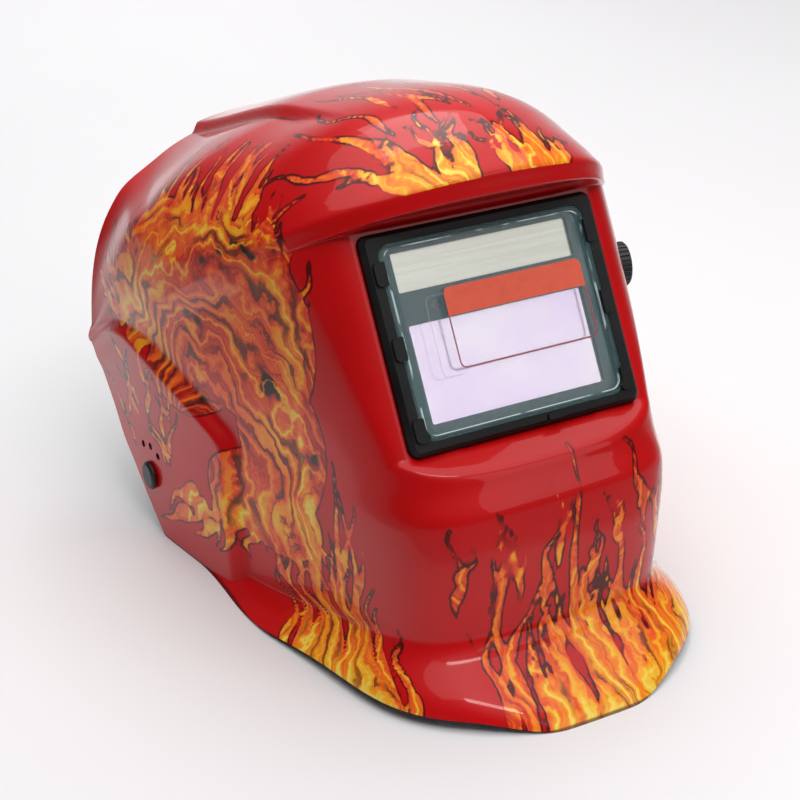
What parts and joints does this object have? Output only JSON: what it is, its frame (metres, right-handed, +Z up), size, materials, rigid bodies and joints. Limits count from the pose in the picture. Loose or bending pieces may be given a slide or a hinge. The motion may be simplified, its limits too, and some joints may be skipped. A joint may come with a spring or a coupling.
{
  "type": "welding helmet",
  "caption": "Deep red welding helmet with an auto-darkening filter window in the face, a shade knob on the side and an adjustable ratchet headband inside.",
  "frame": {"origin": "on the plane the helmet stands on, below the middle of the whole object's bounding box", "axes": "+Z up from the rim the helmet stands on, the face looks towards -Y, +X is the side with the shade knob"},
  "size_m": [0.232, 0.3833, 0.2495],
  "materials": {
    "painted_red": "deep red gloss with airbrushed flames",
    "black_plastic": "satin black, finely textured",
    "bolt_plastic": "black gloss",
    "band_plastic": "charcoal, flexible",
    "case_plastic": "satin black",
    "clear_plate": "clear with a teal cast",
    "film": "clear protective film",
    "gasket_rubber": "soft black",
    "filter_glass": "lavender-white mirror-like filter",
    "shutter_glass": "dark green",
    "solar": "ivory with faint streaks",
    "sensor": "dark dome",
    "board": "green board",
    "cell_steel": "bright",
    "steel": "zinc plated",
    "pot_brass": "nickelled brass",
    "pot_case": "drawn metal can",
    "lead_sheath": "black sheath",
    "friction_pad": "grey fibre",
    "pad_cloth": "black terry cloth over foam"
  },
  "bodies": {
    "helmet": {"shell": "painted_red", "lens_frame": "black_plastic", "frame_screws": "steel", "front_cover_lens": "clear_plate", "peel_film": "film", "frame_gasket": "gasket_rubber", "cartridge_front_case": "case_plastic", "cartridge_rear_case": "case_plastic", "uv_ir_filter": "filter_glass", "lcd_shutter": "shutter_glass", "solar_cell": "solar", "arc_sensors": "sensor", "circuit_board": "board", "coin_cells": "cell_steel", "inner_cover_lens": "clear_plate", "retainer_pins": "steel", "shade_pot": "pot_case", "pot_washer": "steel", "pot_nut": "pot_brass", "shade_lead": "lead_sheath", "pivot_bolt_left": "bolt_plastic", "pivot_bolt_right": "bolt_plastic", "friction_washer_left": "friction_pad", "friction_washer_right": "friction_pad", "tilt_stop_left": "black_plastic", "tilt_stop_right": "black_plastic"},
    "side_arms": {"side_arm_left": "black_plastic", "side_arm_right": "black_plastic"},
    "headband": {"front_band": "band_plastic", "sweatband": "pad_cloth", "rear_band_left": "band_plastic", "rear_band_right": "band_plastic", "band_rivets": "band_plastic", "reach_studs": "band_plastic", "crown_strap_left": "band_plastic", "crown_strap_right": "band_plastic", "crown_peg": "band_plastic", "ratchet_housing": "black_plastic", "rear_pad": "pad_cloth"},
    "shade_control": {"shade_knob": "black_plastic", "shade_shaft": "band_plastic"},
    "sensitivity_dial": {"sensitivity_knob": "black_plastic"},
    "delay_dial": {"delay_knob": "black_plastic"},
    "mode_switch": {"mode_slider": "case_plastic"},
    "retainer": {"cartridge_retainer": "black_plastic"},
    "nut_left": {"hand_nut_left": "black_plastic"},
    "nut_right": {"hand_nut_right": "black_plastic"},
    "ratchet": {"ratchet_pinion": "band_plastic", "ratchet_knob": "black_plastic", "knob_screw": "steel"},
    "tongue_left": {"size_rack_left": "band_plastic"},
    "tongue_right": {"size_rack_right": "band_plastic"}
  },
  "joints": [
    {"name": "headgear_tilt", "type": "hinge", "parent": "helmet", "child": "side_arms", "pos_m": [0, 0.06, 0.033], "axis": [1, 0, 0], "range_deg": [-30, 32]},
    {"name": "headgear_reach", "type": "slide", "parent": "side_arms", "child": "headband", "axis": [0, 1, 0], "range_m": [-0.008, 0.008]},
    {"name": "shade_turn", "type": "hinge", "parent": "helmet", "child": "shade_control", "pos_m": [0.08573, -0.062, 0.1565], "axis": [0.9691, -0.2438, 0.0385], "range_deg": [-135, 135]},
    {"name": "sensitivity_turn", "type": "hinge", "parent": "helmet", "child": "sensitivity_dial", "pos_m": [-0.038, -0.07714, 0.17967], "axis": [0, 0.8643, -0.503], "range_deg": [-135, 135]},
    {"name": "delay_turn", "type": "hinge", "parent": "helmet", "child": "delay_dial", "pos_m": [0.038, -0.07714, 0.17967], "axis": [0, 0.8643, -0.503], "range_deg": [-135, 135]},
    {"name": "mode_slide", "type": "slide", "parent": "helmet", "child": "mode_switch", "axis": [1, 0, 0], "range_m": [-0.003, 0.003]},
    {"name": "retainer_swing", "type": "hinge", "parent": "helmet", "child": "retainer", "pos_m": [0, -0.11281, 0.10845], "axis": [1, 0, 0], "range_deg": [-75, 0]},
    {"name": "nut_left_turn", "type": "hinge", "parent": "helmet", "child": "nut_left", "pos_m": [0.0976, 0.06, 0.033], "axis": [1, 0, 0], "range_deg": [-180, 180]},
    {"name": "nut_right_turn", "type": "hinge", "parent": "helmet", "child": "nut_right", "pos_m": [-0.0976, 0.06, 0.033], "axis": [1, 0, 0], "range_deg": [-180, 180]},
    {"name": "ratchet_turn", "type": "hinge", "parent": "headband", "child": "ratchet", "pos_m": [0, 0.162, 0.058], "axis": [0, 1, 0], "range_deg": [-120, 120]},
    {"name": "tongue_left_slide", "type": "slide", "parent": "headband", "child": "tongue_left", "axis": [1, 0, 0], "range_m": [-0.0098, 0.0098]},
    {"name": "tongue_right_slide", "type": "slide", "parent": "headband", "child": "tongue_right", "axis": [1, 0, 0], "range_m": [-0.0098, 0.0098]}
  ],
  "couplings": [
    {"joint": "tongue_right_slide", "follows": "ratchet_turn", "m_per_rad": 0.0045},
    {"joint": "tongue_left_slide", "follows": "ratchet_turn", "m_per_rad": -0.0045}
  ]
}
